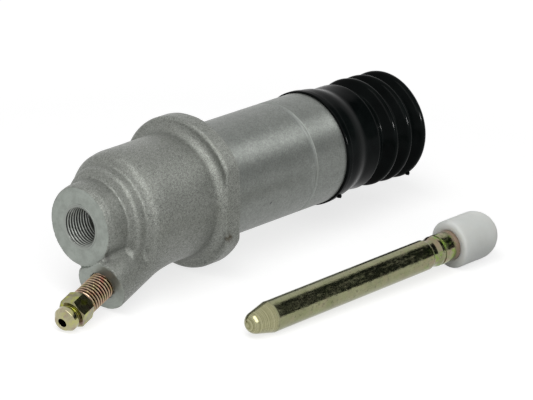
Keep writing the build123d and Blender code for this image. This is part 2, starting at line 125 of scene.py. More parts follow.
# %% [markdown]
# ## Light
# The photograph has the even light of a white studio: no hard shadow, a pale floor, and one broad
# dark patch that shows as a dark band along everything shiny. A sky picture could give that, but
# the world's own shader is enough: it is white all round and dark towards one fixed direction, and
# only shiny surfaces see the dark patch. One long soft lamp above and to the left gives the
# highlights round the casting's shoulders. Two small ones, flagged so that each lights only its own
# pieces, draw the streak along the barrel and the fine lines on the boot's folds.

# %% A small kit for building shaders
MEASURES = ("DOT_PRODUCT", "LENGTH", "DISTANCE")


def wire(tree, source, target):
    """Joins an output socket to an input socket. A plain value is written on the input instead."""
    if isinstance(source, bpy.types.NodeSocket):
        tree.links.new(source, target)
    else:
        target.default_value = source


def add(tree, kind, **values):
    """One shader node. A name is a property of it, or else an input, where a space is written _."""
    node = tree.nodes.new(kind)
    for name, value in values.items():
        if hasattr(node, name):
            setattr(node, name, value)
        else:
            wire(tree, value, node.inputs[name.replace("_", " ")])
    return node


def calculated(tree, operation, *sources, kind="Math"):
    """The result of one Math or VectorMath node. Each source is a socket or a value."""
    node = add(tree, "ShaderNode" + kind, operation=operation)
    for target, source in zip(node.inputs, sources):
        wire(tree, source, target)
    return node.outputs["Value" if kind == "Math" or operation in MEASURES else "Vector"]


def vectors(tree, operation, *sources):
    """The same with vectors: a number where the operation measures, or else a vector."""
    return calculated(tree, operation, *sources, kind="VectorMath")


def blended(tree, share, low, high):
    """A colour between low and high, by a share. Each of the three is a socket or a value."""
    mix = add(tree, "ShaderNodeMix", data_type="RGBA")
    for place, source in ((0, share), (6, low), (7, high)):
        wire(tree, source, mix.inputs[place])
    return mix.outputs[2]


def mixed_value(tree, share, low, high):
    """A number between low and high, by a share. Each of the three is a socket or a value."""
    mix = add(tree, "ShaderNodeMix", data_type="FLOAT")
    for place, source in ((0, share), (2, low), (3, high)):
        wire(tree, source, mix.inputs[place])
    return mix.outputs[0]


def value_by(tree, source, low, high, start=0.0, end=1.0, kind="LINEAR"):
    """A number that runs from low to high while the source runs from start to end, and stops there."""
    return add(tree, "ShaderNodeMapRange", interpolation_type=kind, Value=source, From_Min=start,
               From_Max=end, To_Min=low, To_Max=high).outputs["Result"]


def mask_by(tree, source, start, end, kind="LINEAR"):
    """0 where the source is at start and 1 where it is at end."""
    return value_by(tree, source, 0.0, 1.0, start, end, kind)


def place_of(tree):
    """The Object coordinates of a material."""
    return add(tree, "ShaderNodeTexCoord").outputs["Object"]


def rays(tree):
    """Two masks: rays off a gloss, and all that show the room, so those, straight ones or through glass."""
    ray = add(tree, "ShaderNodeLightPath").outputs
    direct = calculated(tree, "MAXIMUM", ray["Is Camera Ray"], ray["Is Transmission Ray"])
    return ray["Is Glossy Ray"], calculated(tree, "MAXIMUM", direct, ray["Is Glossy Ray"])


# %% The white room with its dark side
DARK_UP = (0.0, -0.669, 0.743)
WHITE = (1.0, 1.0, 1.0, 1.0)
DARK = (0.02, 0.025, 0.025, 1.0)
LIT, SHOWN = 0.32, 1.0
world = bpy.data.worlds.new("studio")
world.use_nodes = True
bpy.context.scene.world = world
sky = world.node_tree
sky.nodes.clear()
direction = add(sky, "ShaderNodeTexCoord").outputs["Generated"]


def side_mask(axis, start, end):
    """0 where the direction's share of an axis is below start, 1 where it is above end."""
    return mask_by(sky, vectors(sky, "DOT_PRODUCT", direction, axis), start, end, "SMOOTHSTEP")


patch = calculated(sky, "MULTIPLY", side_mask(AXIS, 0.44, 0.56), side_mask(DARK_UP, 0.46, 0.56))
off_gloss, seen = rays(sky)
room = blended(sky, calculated(sky, "MULTIPLY", patch, off_gloss), WHITE, DARK)
chosen = add(sky, "ShaderNodeMixShader", Fac=seen)
for place, strength in ((1, LIT), (2, SHOWN)):
    background = add(sky, "ShaderNodeBackground", Color=room, Strength=strength)
    wire(sky, background.outputs[0], chosen.inputs[place])
add(sky, "ShaderNodeOutputWorld", Surface=chosen.outputs[0])
print("world", len(sky.nodes), "nodes")

# %% A strip lamp over the object and two small ones
def soft_lamp(name, aim, towards, distance, size, power, along=(0.0, 0.0, 1.0)):
    """An area lamp in a direction from the point it is aimed at, its length along another direction."""
    data = bpy.data.lights.new(name, "AREA")
    data.shape = "RECTANGLE"
    data.size, data.size_y = size
    data.energy = power
    back = Vector(towards).normalized()
    across = Vector(along).cross(back).normalized()
    return stood(name, data, Vector(aim) * MM + back * distance, across, back.cross(across), back)


soft_lamp("lamp_strip", (14, -20, 0), (-0.46, -0.42, 0.78), 0.8, (0.34, 1.1), 4.9, (0.14, 0.80, 0.58))
barrel_lamp = soft_lamp("lamp_barrel", (6, -9, 14), (0.66, -0.40, 0.63), 0.5, (0.2, 0.2), 0.47)
boot_lamp = soft_lamp("lamp_boot", (75, -12, 8), (0.13, -0.95, 0.28), 0.6, (0.10, 0.10), 6.5)

# %% The pale floor, whiter away from the object, where no lamp reaches it
FLOOR = cad_low.z
HALF_FLOOR = 1.5
NEAR, FAR = 0.16, 0.55
NEAR_GLOW, FAR_GLOW = 0.72, 0.93
floor_mesh = bpy.data.meshes.new("floor")
corners = [(x * HALF_FLOOR, y * HALF_FLOOR, FLOOR) for x, y in ((-1, -1), (1, -1), (1, 1), (-1, 1))]
floor_mesh.from_pydata(corners, [], [(0, 1, 2, 3)])
floor = in_scene("floor", floor_mesh)
paper = bpy.data.materials.new("paper")
paper.use_nodes = True
tree = paper.node_tree
tree.nodes.clear()
level = value_by(tree, vectors(tree, "LENGTH", place_of(tree)), NEAR_GLOW, FAR_GLOW, NEAR, FAR)
matt = add(tree, "ShaderNodeBsdfDiffuse", Color=(0.42, 0.42, 0.42, 1.0))
bright = add(tree, "ShaderNodeEmission", Strength=calculated(tree, "MULTIPLY", rays(tree)[1], level))
both = add(tree, "ShaderNodeAddShader")
wire(tree, matt.outputs[0], both.inputs[0])
wire(tree, bright.outputs[0], both.inputs[1])
add(tree, "ShaderNodeOutputMaterial", Surface=both.outputs[0])
floor_mesh.materials.append(paper)
print("floor at", round(FLOOR, 4))

# %% [markdown]
# ## Turned shapes
# Nearly everything here was turned on a lathe, so one helper carries a profile round an axis. The
# screw modifier would do that too, but numpy keeps every point in the lesson's own hands. A profile
# is a short list of corners, each with its own rounding.

# %% Profiles with rounded corners
def rounded(corners, steps=7):
    """A profile (n, 2) from corners (x, radius, rounding).

    At a corner the sides meet at the angle 2a. The arc of radius R touches them R / tan(a) from the
    corner, and its centre is R / sin(a) along the line that halves the angle.
    """
    corner = np.array([c[:2] for c in corners], float)
    rounding = np.array([c[2] for c in corners], float)
    back = np.vstack([corner[:1], corner[:-1]]) - corner
    on = np.vstack([corner[1:], corner[-1:]]) - corner
    length = np.maximum([np.hypot(*back.T), np.hypot(*on.T)], 1e-9)
    back, on = back / length[0][:, None], on / length[1][:, None]
    half = np.arccos(np.clip((back * on).sum(1), -1, 1)) / 2
    rounding = np.where((rounding > 0) & (half > 0.01) & (half < 1.56), rounding, 0.0)
    half = np.where(rounding > 0, half, np.pi / 4)
    reach = np.minimum(rounding / np.tan(half), 0.49 * length.min(0))
    radius = reach * np.tan(half)
    middle = back + on
    middle = middle / np.maximum(np.hypot(*middle.T), 1e-9)[:, None]
    centre = corner + middle * (radius / np.sin(half))[:, None]
    start = corner + back * reach[:, None] - centre
    end = corner + on * reach[:, None] - centre
    share = np.linspace(0, 1, steps)[None, :, None]
    sweep = (np.pi - 2 * half)[:, None, None]
    a, b = np.sin((1 - share) * sweep) / np.sin(sweep), np.sin(share * sweep) / np.sin(sweep)
    arcs = centre[:, None] + a * start[:, None] + b * end[:, None]
    arcs = np.where(radius[:, None, None] > 0, arcs, corner[:, None])
    points = arcs.reshape(-1, 2)
    kept = np.hypot(*np.diff(points, axis=0, prepend=points[:1] - 1).T) > 1e-6
    return points[kept]


def filled(profile, longest):
    """The same profile with no gap between points over longest, so that noise and light have points."""
    gap = np.hypot(*np.diff(profile, axis=0).T)
    run = np.concatenate([[0], np.cumsum(gap)])
    parts = np.maximum(np.ceil(gap / longest).astype(int), 1)
    share = np.concatenate([np.arange(n) / n + i for i, n in enumerate(parts)] + [[len(gap)]])
    place = np.interp(share, np.arange(len(run)), run)
    return np.stack([np.interp(place, run, profile[:, 0]), np.interp(place, run, profile[:, 1])], 1)


# %% From a profile to a grid of points
def all_round(count):
    """Angles once round, the first not repeated."""
    return np.linspace(0, 2 * np.pi, count, endpoint=False)


def level_rows(profile, around):
    """Rows whose distance from the axis is the same all round, from (place along it, distance) pairs."""
    profile = np.asarray(profile, float)
    return profile[:, :1] + 0 * around, profile[:, 1:] + 0 * around


def round_grid(parts, around, place=None):
    """Points (row, around, 3) from parts one after another, each (place along x, distance from it).

    y and z are the distance times the angle's cosine and sine. A place is (origin, three unit rows
    that x, y and z turn into).
    """
    rows, radii = (np.concatenate(values) for values in zip(*parts))
    points = np.stack([rows, radii * np.cos(around), radii * np.sin(around)], -1)
    return points if place is None else points @ np.asarray(place[1]) + place[0]


def spun(profile, steps, place=None):
    """A profile carried once round its axis."""
    around = all_round(steps)
    return round_grid([level_rows(profile, around)], around, place)


# %% From a grid of points to a piece
def grid_faces(rows, columns, ring=False):
    """The quads of a grid of points, closed all round. A ring joins its last row to its first, too."""
    i, j = np.meshgrid(np.arange(rows if ring else rows - 1), np.arange(columns), indexing="ij")
    below, beside = (i + 1) % rows, (j + 1) % columns
    quads = [i * columns + j, below * columns + j, below * columns + beside, i * columns + beside]
    return np.stack(quads, -1).reshape(-1, 4)


def piece(name, points, material, replaces=(), crease=32.0, ring=False, body="cylinder", faces=None):
    """A mesh from points in millimetres, merged at its poles, faces outward, smooth up to the crease."""
    if faces is None:
        faces = grid_faces(*points.shape[:2], ring)
    mesh = bpy.data.meshes.new(name)
    mesh.from_pydata((points.reshape(-1, 3) * MM).tolist(), [], faces.tolist())
    work = bmesh.new()
    work.from_mesh(mesh)
    bmesh.ops.remove_doubles(work, verts=work.verts, dist=2e-7)
    bmesh.ops.recalc_face_normals(work, faces=work.faces)
    work.to_mesh(mesh)
    work.free()
    mesh.shade_smooth()
    mesh.set_sharp_from_angle(angle=np.radians(crease))
    mesh.materials.append(material)
    obj = in_scene(name, mesh)
    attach(obj, body)
    if replaces:
        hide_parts(*replaces)
    print(name, len(mesh.vertices), "points")
    return obj

# %% [markdown]
# ## Shared finishes
# Three effects come back in several materials, so each is a node group made once: a cloudy change
# of tone, a fine grain for cast and moulded skins, and the fine rings that a lathe tool leaves.
# A group gives out only masks and heights. The shader itself stays in each material, where the
# same number all over is set on its own socket.

# %% Groups with named sockets
def new_group(name, outputs, **inputs):
    """An empty node group: its outputs' names, and its inputs with their values. A space is written _."""
    group = bpy.data.node_groups.new(name, "ShaderNodeTree")
    for title, value in inputs.items():
        kind = "NodeSocketVector" if isinstance(value, tuple) else "NodeSocketFloat"
        socket = group.interface.new_socket(title.replace("_", " "), in_out="INPUT", socket_type=kind)
        socket.default_value = value
    for title in outputs:
        group.interface.new_socket(title, in_out="OUTPUT", socket_type="NodeSocketFloat")
    return group, group.nodes.new("NodeGroupInput").outputs, group.nodes.new("NodeGroupOutput").inputs


def place_group(tree, group, **values):
    """The outputs of a group placed in a material, its inputs set by name."""
    return add(tree, "ShaderNodeGroup", node_tree=group, **values).outputs


def noise(tree, place, scale, detail, roughness):
    """Noise about 0.5 at a place, finer at a larger scale."""
    return add(tree, "ShaderNodeTexNoise", Vector=place, Scale=scale, Detail=detail,
               Roughness=roughness).outputs["Fac"]


def away_from(tree, centre, axis):
    """How far a point is from a line: the length of the cross product with the line's direction."""
    local = vectors(tree, "SUBTRACT", place_of(tree), centre)
    return vectors(tree, "LENGTH", vectors(tree, "CROSS_PRODUCT", local, axis))


# %% Clouds: a soft change of tone
clouds, given, out = new_group("clouds", ["Mask"], Scale=60.0, Low=0.35, High=0.65)
soft = noise(clouds, place_of(clouds), given["Scale"], 4.0, 0.6)
wire(clouds, mask_by(clouds, soft, given["Low"], given["High"]), out["Mask"])


def cloudy(tree, scale, low, high):
    """The clouds of a scale as a mask, 0 where the noise is low and 1 where it is high."""
    return place_group(tree, clouds, Scale=scale, Low=low, High=high)["Mask"]


print("group", clouds.name)

# %% Grain: the bumps of sand or of a mould
grain, given, out = new_group("grain", ["Height", "Pits"], Size=2000.0, Sharpness=0.5)
where = place_of(grain)
fine = noise(grain, where, given["Size"], 3.0, given["Sharpness"])
coarse = noise(grain, where, calculated(grain, "MULTIPLY", given["Size"], 0.35), 2.0, 0.5)
height = mixed_value(grain, 0.22, fine, coarse)
wire(grain, height, out["Height"])
wire(grain, value_by(grain, height, 1.0, 0.0, 0.36, 0.46), out["Pits"])


def grainy(tree, size, sharpness):
    """The height of a fine grain."""
    return place_group(tree, grain, Size=size, Sharpness=sharpness)["Height"]


print("group", grain.name)

# %% Tool rings: what a lathe leaves on a side or on a face
rings, given, out = new_group(
    "tool rings", ["Height"], Centre=CENTRE, Axis=AXIS, Fineness=4000.0, On_face=0.0)
local = vectors(rings, "SUBTRACT", place_of(rings), given["Centre"])
along = vectors(rings, "DOT_PRODUCT", local, given["Axis"])
away = away_from(rings, given["Centre"], given["Axis"])
lines = add(rings, "ShaderNodeTexNoise", noise_dimensions="1D", Detail=3.0, Roughness=0.7,
            W=mixed_value(rings, given["On face"], along, away), Scale=given["Fineness"])
wire(rings, lines.outputs["Fac"], out["Height"])
print("group", rings.name)

# %% A material starts as one principled shader
def feed(tree, **sources):
    """Sets the principled shader's inputs by name: sockets are joined, plain values written."""
    for title, source in sources.items():
        wire(tree, source, tree.nodes["Principled BSDF"].inputs[title.replace("_", " ")])


def start_material(name, **values):
    """A material whose principled shader has these constant values, and its node tree."""
    material = bpy.data.materials.new(name)
    material.use_nodes = True
    feed(material.node_tree, **values)
    return material, material.node_tree


def colour_by(tree, mask, low, high):
    """A colour between low and high, by a mask."""
    return blended(tree, mask, (*low, 1.0), (*high, 1.0))


def tinted(tree, colour, *layers):
    """A colour pulled towards others in turn, each given as (mask, other colour, strength)."""
    for mask, other, strength in layers:
        colour = blended(tree, value_by(tree, mask, 0.0, strength), colour, (*other, 1.0))
    return colour


def raise_bumps(tree, height, strength, distance):
    """Feeds a height to the shader's normal. distance is the bump's real height in metres."""
    feed(tree, Normal=add(tree, "ShaderNodeBump", Strength=strength, Distance=distance,
                          Height=height).outputs["Normal"])

# %% [markdown]
# ## Aluminium, cast and machined
# The casting keeps the skin of the sand mould, except on the three faces that were machined: the
# port's face, the boss's face and the flange's seat. Each could be a thin plate laid over the
# casting, but a mask in the material is cleaner. It measures how far a point lies from each of
# those three planes, in Object coordinates, so its edge is crisp however coarse the mesh is.

# %% Masks by place
def beyond(tree, axis, start, end):
    """0 below start and 1 above end, both in millimetres along an axis through the origin."""
    return mask_by(tree, vectors(tree, "DOT_PRODUCT", place_of(tree), axis), start * MM, end * MM)


def plane_mask(tree, centre, axis, depth):
    """1 on a machined face and 0 further behind it than depth."""
    face = float(np.dot(centre, axis))
    return beyond(tree, axis, face - depth, face - 0.6 * depth)


def off_axis(tree, centre, axis, start, end):
    """0 nearer to an axis than start and 1 further from it than end, in millimetres."""
    return mask_by(tree, away_from(tree, np.array(centre) * MM, axis), start * MM, end * MM)


def spot(tree, centre, radius, frayed=0.6):
    """1 at a point and 0 outside a radius, its edge frayed by noise."""
    away = vectors(tree, "DISTANCE", place_of(tree), np.array(centre) * MM)
    ragged = calculated(tree, "MULTIPLY", cloudy(tree, 1400.0, 0.3, 0.7), frayed * radius * MM)
    return mask_by(tree, calculated(tree, "ADD", away, ragged), radius * MM, 0.4 * radius * MM)


def outside(tree, mask):
    """1 where a mask is 0, and 0 where it is 1."""
    return calculated(tree, "SUBTRACT", 1.0, mask)


# %% Sand-cast aluminium with its machined faces
# The first colour darkens the sand's pits as grime. It also paints shade into the notch between the port
# face and the boss, which is the first place on the next line.
GRIME_AND_NOTCH_SHADE, STAIN = (0.06, 0.06, 0.055), (0.05, 0.035, 0.015)
NOTCH_SHADE_AT, STAIN_AT = (-43.2, -9.9, -6.9), (-4.6, -19.8, -9.1)
FACE_CUT = 2600.0
cast, tree = start_material("cast_aluminium")
port_face = calculated(tree, "MULTIPLY", plane_mask(tree, (PORT_FACE, 0, 0), PORT_SIDE, 0.12),
                       outside(tree, off_axis(tree, CENTRE, AXIS, 11.42, 11.6)))
boss_face = plane_mask(tree, BOSS_FACE, BOSS_OUT, 0.06)
seat_face = plane_mask(tree, CENTRE, AXIS, 0.06)
faced = calculated(tree, "MAXIMUM", calculated(tree, "MAXIMUM", port_face, boss_face), seat_face)
cloud = cloudy(tree, 90.0, 0.3, 0.7)
sand = place_group(tree, grain, Size=3900.0, Sharpness=0.7)
speckle = mask_by(tree, sand["Height"], 0.36, 0.64)
sandy = tinted(
    tree, colour_by(tree, speckle, (0.085, 0.089, 0.080), (0.335, 0.348, 0.318)),
    (cloud, (0.215, 0.225, 0.203), 0.25),
    (sand["Pits"], GRIME_AND_NOTCH_SHADE, 0.15),
)
axial = place_group(tree, rings, Fineness=FACE_CUT, On_face=1.0)
leaning = place_group(tree, rings, Centre=BOSS_FACE * MM, Axis=BOSS_OUT, Fineness=FACE_CUT, On_face=1.0)
swirl = mixed_value(tree, boss_face, axial["Height"], leaning["Height"])
clean = tinted(
    tree, colour_by(tree, swirl, (0.25, 0.275, 0.25), (0.37, 0.40, 0.365)),
    (cloud, (0.25, 0.27, 0.247), 0.5),
    (speckle, (0.40, 0.43, 0.395), 0.3),
    (cloudy(tree, 360.0, 0.42, 0.62), (0.205, 0.22, 0.20), 0.42),
)
tone = tinted(
    tree, blended(tree, faced, sandy, clean),
    # painted shade: a dark spot darkens the notch between the port face and the bleeder's boss
    (spot(tree, NOTCH_SHADE_AT, 1.9, 0.3), GRIME_AND_NOTCH_SHADE, 0.8),
    (spot(tree, STAIN_AT, 2.3), STAIN, 0.85),
)
gloss = mixed_value(tree, faced, value_by(tree, speckle, 0.48, 0.34), value_by(tree, swirl, 0.36, 0.48))
feed(tree, Base_Color=tone, Roughness=gloss, Metallic=value_by(tree, faced, 0.75, 0.9))
height = mixed_value(tree, faced, sand["Height"], value_by(tree, swirl, 0.45, 0.55))
raise_bumps(tree, height, 0.6, 0.00025)
print("material", cast.name)

# %% Machined aluminium for what the lathe cut all round
def machined(name, on_face, low, high, roughness, specks):
    """Aluminium as the cutting tool leaves it: rings about the bore's axis, and the metal's own specks."""
    material, tree = start_material(name, Metallic=0.9)
    ring = place_group(tree, rings, Fineness=2500.0, On_face=on_face)["Height"]
    cloud = cloudy(tree, 140.0, 0.3, 0.7)
    fine = grainy(tree, 2300.0, 0.7)
    speckle = mask_by(tree, fine, 0.36, 0.64)
    tone = tinted(
        tree, colour_by(tree, cloud, low, high),
        (speckle, tuple(0.45 * v for v in low), specks),
        (ring, tuple(0.8 * v for v in low), 0.4),
    )
    gloss = mixed_value(tree, speckle, value_by(tree, ring, roughness, roughness + 0.1),
                        value_by(tree, ring, roughness + 0.08, roughness + 0.2))
    feed(tree, Roughness=gloss)
    height = mixed_value(tree, value_by(tree, cloud, 0.3, 0.6), ring, fine)
    raise_bumps(tree, height, 0.35, 0.00006)
    return material, tree, tone


SPECK_AT, SPECK = (16.74, -16.28, -4.91), (0.03, 0.03, 0.028)
turned_barrel, tree, tone = machined(
    "turned_barrel", 0.0, (0.225, 0.239, 0.222), (0.283, 0.297, 0.278), 0.33, 0.68)
before_end = outside(tree, beyond(tree, AXIS, 36.45, 36.6))
# painted light: the snap groove gets a lighter tone, so that it looks lit where it would be shaded
groove_painted_light = calculated(tree, "MULTIPLY", beyond(tree, AXIS, 35.0, 35.15), before_end)
feed(tree, Base_Color=tinted(
    tree, tone,
    (spot(tree, SPECK_AT, 0.75, 0.4), SPECK, 0.8),
    (groove_painted_light, (0.30, 0.315, 0.30), 0.6),
))
cut_port, tree, tone = machined(
    "cut_port", 1.0, (0.36, 0.38, 0.35), (0.46, 0.48, 0.45), 0.30, 0.15)
past_cone = beyond(tree, AXIS, -43.62, -43.5)
# painted shade: the roots of the port's thread are darkened to nearly black
root_painted_shade = calculated(tree, "MULTIPLY", off_axis(tree, CENTRE, AXIS, 5.66, 5.86), past_cone)
feed(tree, Base_Color=tinted(
    tree, tone,
    (root_painted_shade, (0.015, 0.016, 0.015), 0.95),
    (beyond(tree, PORT_SIDE, 43.6, 43.7), (0.26, 0.275, 0.255), 0.8),
    (beyond(tree, PORT_SIDE, 43.93, 43.97), (0.29, 0.31, 0.285), 1.0),
))
print("materials", turned_barrel.name, cut_port.name)

# %% Boot rubber
rubber, tree = start_material("boot_rubber", IOR=1.3, Specular_IOR_Level=0.06)
cloud = cloudy(tree, 120.0, 0.35, 0.7)
skin = grainy(tree, 1800.0, 0.5)
feed(tree, Base_Color=colour_by(tree, cloud, (0.0007, 0.0010, 0.0010), (0.0020, 0.0027, 0.0026)),
     Roughness=value_by(tree, skin, 0.08, 0.26))
raise_bumps(tree, skin, 0.25, 0.00006)
print("material", rubber.name)

# %% Yellow zinc plating
def zinc(name, dark, light, pink, green, rainbow, roughness):
    """Yellow zinc: a metal whose thin film drifts from olive to straw, with patches of pink and green."""
    material, tree = start_material(name, Metallic=1.0)
    tone = tinted(
        tree, colour_by(tree, cloudy(tree, 160.0, 0.3, 0.7), dark, light),
        (cloudy(tree, 430.0, 0.50, 0.62), pink, rainbow),
        (cloudy(tree, 400.0, 0.48, 0.64), green, rainbow),
    )
    skin = grainy(tree, 1500.0, 0.6)
    feed(tree, Roughness=value_by(tree, skin, roughness - 0.08, roughness + 0.1))
    raise_bumps(tree, skin, 0.15, 0.00004)
    return material, tree, tone


TIP = 15.2
bleeder_zinc, tree, tone = zinc(
    "bleeder_zinc", (0.12, 0.115, 0.045), (0.36, 0.34, 0.20), (0.20, 0.12, 0.11), (0.36, 0.38, 0.04),
    rainbow=0.85, roughness=0.09)
tip_from = float(np.dot(BOSS_FACE, BOSS_OUT)) + TIP
on_tip = beyond(tree, BOSS_OUT, tip_from, tip_from + 0.5)
feed(tree, Base_Color=tinted(tree, tone, (on_tip, (0.53, 0.49, 0.34), 0.42)))
thread_copper, tree, tone = zinc(
    "thread_copper", (0.34, 0.22, 0.15), (0.55, 0.42, 0.30), (0.46, 0.18, 0.14), (0.30, 0.29, 0.13),
    rainbow=0.8, roughness=0.20)
# painted shade: the bleeder thread's roots are darkened to nearly black, and only its crests keep the
# plating's tone
crest = off_axis(tree, BOSS_FACE, BOSS_OUT, 3.55, 3.84)
feed(tree, Base_Color=blended(tree, crest, (0.025, 0.014, 0.006, 1.0), tone))
print("materials", bleeder_zinc.name, thread_copper.name)

# %% Nylon
nylon, tree = start_material("nylon", Roughness=0.42, Subsurface_Weight=1.0, Subsurface_Scale=0.007,
                             Subsurface_Radius=(1.0, 0.95, 0.9))
cloud = cloudy(tree, 150.0, 0.35, 0.7)
feed(tree, Base_Color=colour_by(tree, cloud, (0.66, 0.68, 0.645), (0.72, 0.74, 0.705)))
raise_bumps(tree, grainy(tree, 1300.0, 0.5), 0.12, 0.00005)
print("material", nylon.name)

# %% Moulded and turned pieces inside
def plain_finish(name, low, high, metallic, roughness):
    """A finish for a hidden piece: a cloudy tone, a fine skin and a soft change of gloss."""
    material, tree = start_material(name, Metallic=metallic)
    skin = grainy(tree, 1600.0, 0.5)
    feed(tree, Base_Color=colour_by(tree, cloudy(tree, 130.0, 0.35, 0.7), low, high),
         Roughness=value_by(tree, skin, roughness - 0.08, roughness + 0.08))
    raise_bumps(tree, skin, 0.2, 0.00004)
    return material


inner_rubber = plain_finish("inner_rubber", (0.008, 0.008, 0.009), (0.02, 0.02, 0.021), 0.0, 0.45)
bright_steel = plain_finish("bright_steel", (0.38, 0.385, 0.39), (0.47, 0.475, 0.48), 1.0, 0.30)
spring_steel = plain_finish("spring_steel", (0.10, 0.10, 0.105), (0.17, 0.17, 0.175), 1.0, 0.38)
piston_side, tree, tone = machined(
    "piston_side", 0.0, (0.36, 0.37, 0.36), (0.44, 0.45, 0.44), 0.26, 0.2)
feed(tree, Base_Color=tone)
inner_finish = {
    "piston": piston_side,
    "piston_seal": inner_rubber,
    "pressure_cup": inner_rubber,
    "spring_seat": bright_steel,
    "stop_washer": bright_steel,
    "retaining_ring": spring_steel,
}
for name, material in inner_finish.items():
    for place in nodes[name].material_slots:
        place.material = material
print("inner pieces", len(inner_finish))

# %% [markdown]
# ## The casting
# On the real object this is one pour of aluminium: a stepped, round body, a flange with one flat
# side, and a leaning boss that grows out of it with a soft fillet all round. Turned parts joined by
# booleans would meet in hard lines. Here the whole casting is one formula instead, a distance that
# is negative inside the metal and zero on its skin. Two bodies then blend with a rounding where
# they meet. A net of quads is laid over the cells that the skin crosses, and each point steps along
# the slope until it lies on the skin.

# %% Distances that blend
def ring_box(x, r, x0, x1, radius, rounding):
    """Distance to a disc from x0 to x1: a rectangle in (x, r) with its corners rounded."""
    qx = np.abs(x - (x0 + x1) / 2) - (x1 - x0) / 2 + rounding
    qr = r - radius + rounding
    return np.hypot(np.maximum(qx, 0), np.maximum(qr, 0)) + np.minimum(np.maximum(qx, qr), 0) - rounding


def join(a, b, k):
    """The union of two distances with a fillet of radius k in the inner corner."""
    return np.maximum(k, np.minimum(a, b)) - np.hypot(np.maximum(k - a, 0), np.maximum(k - b, 0))


def cut(a, b, k):
    """What a and b share, with a rounding of radius k on the outer corner."""
    return np.minimum(-k, np.maximum(a, b)) + np.hypot(np.maximum(k + a, 0), np.maximum(k + b, 0))


# %% The casting's sizes
FLANGE_BACK, FLANGE_RADIUS, FLANGE_FLAT, FLANGE_FILLET = -5.3, 22.45, 19.8, 3.0
BOSS_RADIUS, BOSS_FILLET = 7.85, 1.6
PORT_FACED = 11.4
# Each hole from, to and its radius: the port, the passage behind it and the piston's bore.
BORES = ((-60, -33.6, 6.5), (-35, -24, 2.4), (-26.2, 9, 11.4))
BLEEDER_BORE = (-13.5, 9, 3.95)
BROKEN, SWELL = 0.1, 0.012
TURNED = rounded([
    (-50, 11.5, 0), (-43.6, 11.5, 1.5), (-42.0, 11.95, 1.5), (-36.9, 12.1, 0.6), (-35.5, 14.7, 1.6),
    (-32.6, 15.1, 0.9), (-31.0, 17.55, 4.4), (-27.4, 18.25, 8.0), (8, 18.25, 0),
], steps=12)
TABLE = np.arange(-50, 8, 0.01)
RADIUS = np.interp(TABLE, *TURNED.T)
FLATTER = 1 / np.hypot(1, np.gradient(RADIUS, TABLE))
cast_rng = np.random.default_rng(4)
wave = cast_rng.normal(0, 1, (12, 3))
wave = wave / np.linalg.norm(wave, axis=1)[:, None] * cast_rng.uniform(0.35, 1.1, (12, 1))
wave_start = cast_rng.uniform(0, 2 * np.pi, 12)
print("outline", len(TURNED), "points")

# %% The casting's formula
def unevenness(x, y, z):
    """A slow swell of the skin, a few hundredths of a millimetre: a sum of twelve slanted sine waves."""
    total = np.zeros(np.broadcast(x, y, z).shape)
    for (a, b, c), start in zip(wave, wave_start):
        total = total + np.sin(a * x + b * y + c * z + start)
    return SWELL * total


def casting(x, y, z):
    """The casting: a stepped round body, the flange with its flat and the boss, less what was cut away.

    The height h along the boss is a dot product, and Pythagoras gives the distance from its axis.
    """
    r = np.hypot(y, z)
    body = (r - np.interp(x, TABLE, RADIUS)) * np.interp(x, TABLE, FLATTER) + unevenness(x, y, z)
    body = cut(body, PORT_FACE - x, 0.35)
    flange = cut(ring_box(x, r, FLANGE_BACK, 3, FLANGE_RADIUS, 1.1), -y - FLANGE_FLAT, 0.7)
    body = join(body, flange, FLANGE_FILLET)
    dx, dy, dz = x - BOSS_FACE[0], y - BOSS_FACE[1], z - BOSS_FACE[2]
    h = dx * BOSS_OUT[0] + dy * BOSS_OUT[1] + dz * BOSS_OUT[2]
    from_boss = np.sqrt(np.maximum(dx ** 2 + dy ** 2 + dz ** 2 - h * h, 0))
    solid = join(body, ring_box(h, from_boss, -25, 3, BOSS_RADIUS, 0.5), BOSS_FILLET)
    solid = cut(solid, x, 0.3)
    solid = cut(solid, h, 0.25)
    solid = cut(solid, np.minimum(PORT_FACE - x, PORT_FACED - r), 0.2)
    for bore in BORES:
        solid = np.maximum(solid, -ring_box(x, r, *bore, BROKEN))
    return np.maximum(solid, -ring_box(h, from_boss, *BLEEDER_BORE, BROKEN))


# %% A net over the skin
def surface_net(field, low, high, step):
    """Quads on the zero level of a field. Each grid cell that the skin crosses gets one point.

    Every grid edge whose two ends lie on different sides joins the four cells round it by a quad.
    """
    axes = [np.arange(a, b + step, step) for a, b in zip(low, high)]
    inside = field(*np.meshgrid(*axes, indexing="ij")) < 0
    n = np.array(inside.shape)
    count = np.zeros(n - 1, int)
    for i, j, k in np.ndindex(2, 2, 2):
        count += inside[i:n[0] - 1 + i, j:n[1] - 1 + j, k:n[2] - 1 + k]
    crossed = (count > 0) & (count < 8)
    index = -np.ones(crossed.shape, int)
    cells = np.argwhere(crossed)
    index[crossed] = np.arange(len(cells))
    quads = []
    for axis, (u, v) in enumerate(((1, 2), (2, 0), (0, 1))):
        first, second = [slice(None)] * 3, [slice(None)] * 3
        first[axis], second[axis] = slice(None, -1), slice(1, None)
        edge = np.argwhere(inside[tuple(first)] != inside[tuple(second)])
        within = (edge[:, u] > 0) & (edge[:, v] > 0) & (edge[:, u] < n[u] - 1) & (edge[:, v] < n[v] - 1)
        edge = edge[within]
        du, dv = np.eye(3, dtype=int)[u], np.eye(3, dtype=int)[v]
        quad = np.stack([index[tuple((edge - o).T)] for o in (du + dv, dv, 0 * du, du)], axis=1)
        inward = ~inside[tuple(first)][tuple(edge.T)]
        quad[inward] = quad[inward][:, ::-1]
        quads.append(quad)
    return np.array(low) + (cells + 0.5) * step, np.concatenate(quads)


